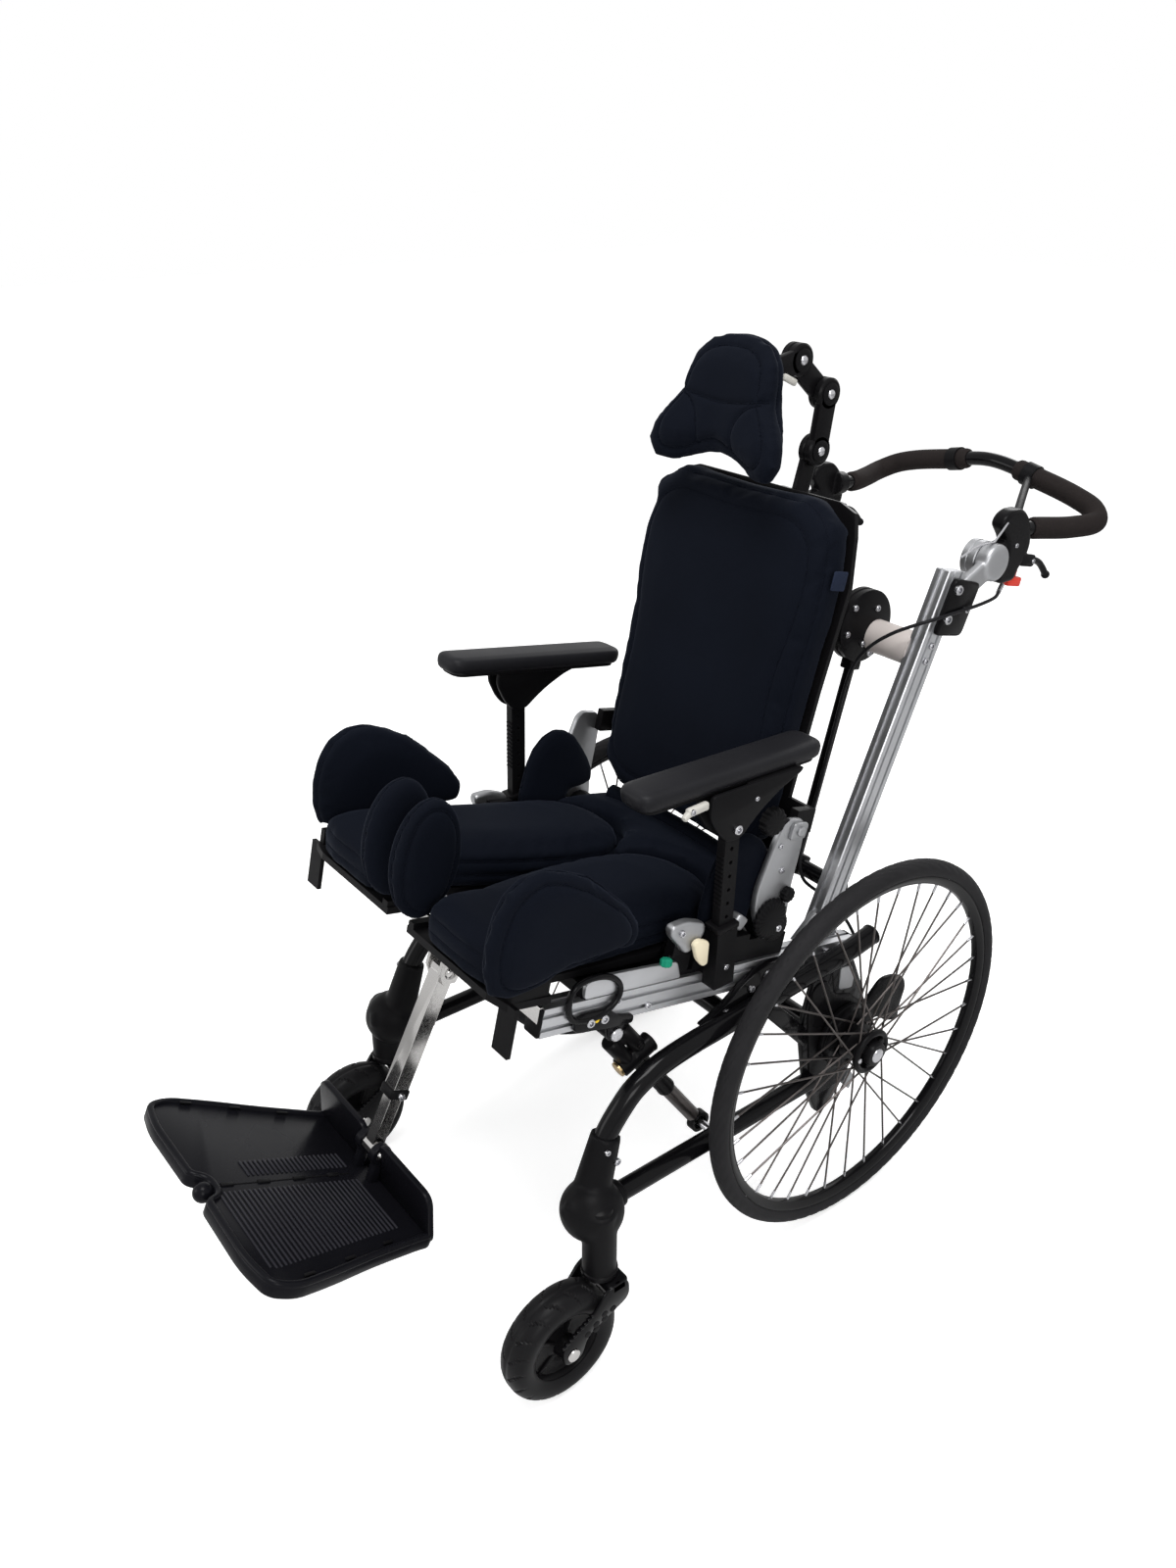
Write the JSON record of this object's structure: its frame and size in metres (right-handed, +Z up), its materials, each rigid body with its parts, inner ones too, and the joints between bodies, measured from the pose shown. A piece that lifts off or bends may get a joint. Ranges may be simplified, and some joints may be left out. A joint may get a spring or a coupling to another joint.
{
  "type": "tilt-in-space wheelchair",
  "caption": "Attendant-pushed wheelchair with a tilting contoured seat, reclining back, headrest, arm, thigh, knee and foot supports on spoked rear wheels and swivel casters",
  "frame": {"origin": "On the floor below the middle of the bounding box", "axes": "+X is the occupant's left, -Y is the way the chair faces, +Z is up"},
  "size_m": [0.634, 1.4576, 1.2742],
  "materials": {
    "frame_black": "gloss black powder coat",
    "cross_tube": "warm light grey paint",
    "seat_aluminium": "satin anodised extrusion",
    "cast_aluminium": "bead-blasted silver casting",
    "chrome": "polished chrome",
    "strut_black": "satin black",
    "strut_rod": "ground steel",
    "plastic_black": "fine-grained black nylon",
    "footplate_black": "satin black, finely ribbed",
    "pad_charcoal": "satin charcoal skin",
    "fabric_navy": "soft near-black navy stretch cover",
    "tyre_grey": "dark grey moulded tread",
    "bow_black": "black foam grips on gloss black tube",
    "catch_red": "red",
    "cable_black": "black cable jacket"
  },
  "bodies": {
    "chassis": {"side_frame_left": "frame_black", "side_frame_right": "frame_black", "front_cross_tube": "frame_black", "axle_cross_tube": "frame_black", "caster_housing_left": "plastic_black", "caster_housing_right": "plastic_black"},
    "seat": {"seat_rail_left": "seat_aluminium", "seat_rail_right": "seat_aluminium", "upright_left": "seat_aluminium", "upright_right": "seat_aluminium", "back_crossbar": "cross_tube", "strut_bracket_left": "frame_black", "strut_bracket_right": "frame_black", "seat_base": "plastic_black", "front_bar": "chrome", "handle_knuckle_left": "cast_aluminium", "handle_knuckle_right": "cast_aluminium", "brake_cable": "cable_black", "seat_cushion": "fabric_navy", "hip_guide_left": "fabric_navy", "hip_guide_right": "fabric_navy"},
    "back": {"hip_arm_left": "cast_aluminium", "hip_arm_right": "cast_aluminium", "back_shell": "plastic_black", "back_cushion": "fabric_navy"},
    "head_post": {"head_post": "plastic_black"},
    "head_link_lower": {"head_link_lower": "plastic_black"},
    "head_link_upper": {"head_link_upper": "plastic_black"},
    "head": {"head_cushion": "fabric_navy"},
    "handle": {"push_bow": "bow_black"},
    "lock_catch": {"lock_catch": "catch_red"},
    "foot_post": {"foot_post": "chrome"},
    "foot_slide": {"foot_slide": "chrome"},
    "footplate": {"footplate": "footplate_black"},
    "wheel_left": {"rear_wheel_left": "frame_black", "rear_tyre_left": "tyre_grey"},
    "caster_fork_left": {"caster_fork_left": "frame_black"},
    "caster_wheel_left": {"caster_wheel_left": "tyre_grey"},
    "brake_lever_left": {"brake_lever_left": "plastic_black"},
    "arm_post_left": {"arm_post_left": "plastic_black"},
    "arm_pad_left": {"arm_pad_left": "pad_charcoal"},
    "thigh_left": {"thigh_support_left": "plastic_black", "thigh_cushion_left": "fabric_navy", "thigh_guide_left": "fabric_navy", "knee_pad_left": "fabric_navy"},
    "tilt_sleeve_left": {"tilt_sleeve_left": "strut_black"},
    "tilt_rod_left": {"tilt_rod_left": "strut_rod"},
    "wheel_right": {"rear_wheel_right": "frame_black", "rear_tyre_right": "tyre_grey"},
    "caster_fork_right": {"caster_fork_right": "frame_black"},
    "caster_wheel_right": {"caster_wheel_right": "tyre_grey"},
    "brake_lever_right": {"brake_lever_right": "plastic_black"},
    "arm_post_right": {"arm_post_right": "plastic_black"},
    "arm_pad_right": {"arm_pad_right": "pad_charcoal"},
    "thigh_right": {"thigh_support_right": "plastic_black", "thigh_cushion_right": "fabric_navy", "thigh_guide_right": "fabric_navy", "knee_pad_right": "fabric_navy"},
    "tilt_sleeve_right": {"tilt_sleeve_right": "strut_black"},
    "tilt_rod_right": {"tilt_rod_right": "strut_rod"}
  },
  "joints": [
    {"name": "seat_tilt", "type": "hinge", "parent": "chassis", "child": "seat", "pos_m": [0, 0.02764, 0.46251], "axis": [-1, 0, 0], "range_deg": [-13.4, 16.6]},
    {"name": "wheel_spin_left", "type": "hinge", "parent": "chassis", "child": "wheel_left", "pos_m": [0.281, 0.18283, 0.29886], "axis": [1, 0, 0], "continuous": true},
    {"name": "caster_swivel_left", "type": "hinge", "parent": "chassis", "child": "caster_fork_left", "pos_m": [0.275, -0.30417, 0.1634], "axis": [0, 0, 1], "continuous": true},
    {"name": "caster_spin_left", "type": "hinge", "parent": "caster_fork_left", "child": "caster_wheel_left", "pos_m": [0.275, -0.37217, 0.08543], "axis": [1, 0, 0], "continuous": true},
    {"name": "wheel_spin_right", "type": "hinge", "parent": "chassis", "child": "wheel_right", "pos_m": [-0.281, 0.18283, 0.29886], "axis": [1, 0, 0], "continuous": true},
    {"name": "caster_swivel_right", "type": "hinge", "parent": "chassis", "child": "caster_fork_right", "pos_m": [-0.275, -0.30417, 0.1634], "axis": [0, 0, 1], "continuous": true},
    {"name": "caster_spin_right", "type": "hinge", "parent": "caster_fork_right", "child": "caster_wheel_right", "pos_m": [-0.275, -0.37217, 0.08543], "axis": [1, 0, 0], "continuous": true},
    {"name": "back_recline", "type": "hinge", "parent": "seat", "child": "back", "pos_m": [0, 0.03669, 0.53951], "axis": [-1, 0, 0], "range_deg": [-3, 12]},
    {"name": "head_height", "type": "slide", "parent": "back", "child": "head_post", "axis": [0, 0.2721, 0.9623], "range_m": [0, 0.06]},
    {"name": "head_link_lower_swing", "type": "hinge", "parent": "head_post", "child": "head_link_lower", "pos_m": [0.019, 0.26118, 1.11211], "axis": [1, 0, 0], "range_deg": [-20, 3]},
    {"name": "head_link_upper_swing", "type": "hinge", "parent": "head_link_lower", "child": "head_link_upper", "pos_m": [0.019, 0.27197, 1.18561], "axis": [1, 0, 0], "range_deg": [-20, 3]},
    {"name": "head_nod", "type": "hinge", "parent": "head_link_upper", "child": "head", "pos_m": [0.03, 0.21416, 1.2343], "axis": [1, 0, 0], "range_deg": [-25, 4]},
    {"name": "handle_angle", "type": "hinge", "parent": "seat", "child": "handle", "pos_m": [0, 0.44774, 0.96293], "axis": [1, 0, 0], "range_deg": [-30, 30]},
    {"name": "brake_lever_squeeze_left", "type": "hinge", "parent": "handle", "child": "brake_lever_left", "pos_m": [0.181, 0.56638, 0.93884], "axis": [1, 0, 0], "range_deg": [0, 25], "stiffness_Nm_per_rad": 0.6},
    {"name": "brake_lever_squeeze_right", "type": "hinge", "parent": "handle", "child": "brake_lever_right", "pos_m": [-0.181, 0.56638, 0.93884], "axis": [1, 0, 0], "range_deg": [0, 25], "stiffness_Nm_per_rad": 0.6},
    {"name": "lock_catch_press", "type": "slide", "parent": "handle", "child": "lock_catch", "axis": [0, 0.2312, 0.9729], "range_m": [0, 0.005], "stiffness_N_per_m": 400},
    {"name": "arm_height_left", "type": "slide", "parent": "seat", "child": "arm_post_left", "axis": [0, 0.0239, 0.9997], "range_m": [-0.025, 0.06]},
    {"name": "arm_height_right", "type": "slide", "parent": "seat", "child": "arm_post_right", "axis": [0, 0.0239, 0.9997], "range_m": [-0.041, 0.044]},
    {"name": "arm_angle_left", "type": "hinge", "parent": "arm_post_left", "child": "arm_pad_left", "pos_m": [0.23, -0.06528, 0.73298], "axis": [-1, 0, 0], "range_deg": [-12, 12]},
    {"name": "arm_angle_right", "type": "hinge", "parent": "arm_post_right", "child": "arm_pad_right", "pos_m": [-0.23, -0.0649, 0.74897], "axis": [-1, 0, 0], "range_deg": [-20, 5]},
    {"name": "thigh_swing_left", "type": "hinge", "parent": "seat", "child": "thigh_left", "pos_m": [0.098, -0.09673, 0.54038], "axis": [0, 0.2312, 0.9729], "range_deg": [-2, 2]},
    {"name": "thigh_swing_right", "type": "hinge", "parent": "seat", "child": "thigh_right", "pos_m": [-0.098, -0.09673, 0.54038], "axis": [0, -0.2312, -0.9729], "range_deg": [-2, 2]},
    {"name": "foot_post_angle", "type": "hinge", "parent": "seat", "child": "foot_post", "pos_m": [0, -0.35039, 0.51536], "axis": [-1, 0, 0], "range_deg": [-3, 35]},
    {"name": "foot_length", "type": "slide", "parent": "foot_post", "child": "foot_slide", "axis": [0, -0.4682, -0.8836], "range_m": [-0.03, 0.06]},
    {"name": "footplate_angle", "type": "hinge", "parent": "foot_slide", "child": "footplate", "pos_m": [0, -0.47713, 0.27619], "axis": [-1, 0, 0], "range_deg": [-15, 75]},
    {"name": "strut_swing_left", "type": "hinge", "parent": "seat", "child": "tilt_sleeve_left", "pos_m": [0.205, -0.23434, 0.48469], "axis": [-1, 0, 0], "range_deg": [-8, 7]},
    {"name": "strut_slide_left", "type": "slide", "parent": "tilt_sleeve_left", "child": "tilt_rod_left", "axis": [0, 0.5608, -0.8279], "range_m": [-0.05, 0.062]},
    {"name": "strut_swing_right", "type": "hinge", "parent": "seat", "child": "tilt_sleeve_right", "pos_m": [-0.205, -0.23434, 0.48469], "axis": [-1, 0, 0], "range_deg": [-8, 7]},
    {"name": "strut_slide_right", "type": "slide", "parent": "tilt_sleeve_right", "child": "tilt_rod_right", "axis": [0, 0.5608, -0.8279], "range_m": [-0.05, 0.062]}
  ],
  "couplings": [
    {"joint": "strut_swing_left", "follows": "seat_tilt", "ratio": -0.45},
    {"joint": "strut_slide_left", "follows": "seat_tilt", "m_per_rad": 0.2025},
    {"joint": "strut_swing_right", "follows": "seat_tilt", "ratio": -0.45},
    {"joint": "strut_slide_right", "follows": "seat_tilt", "m_per_rad": 0.2025}
  ]
}
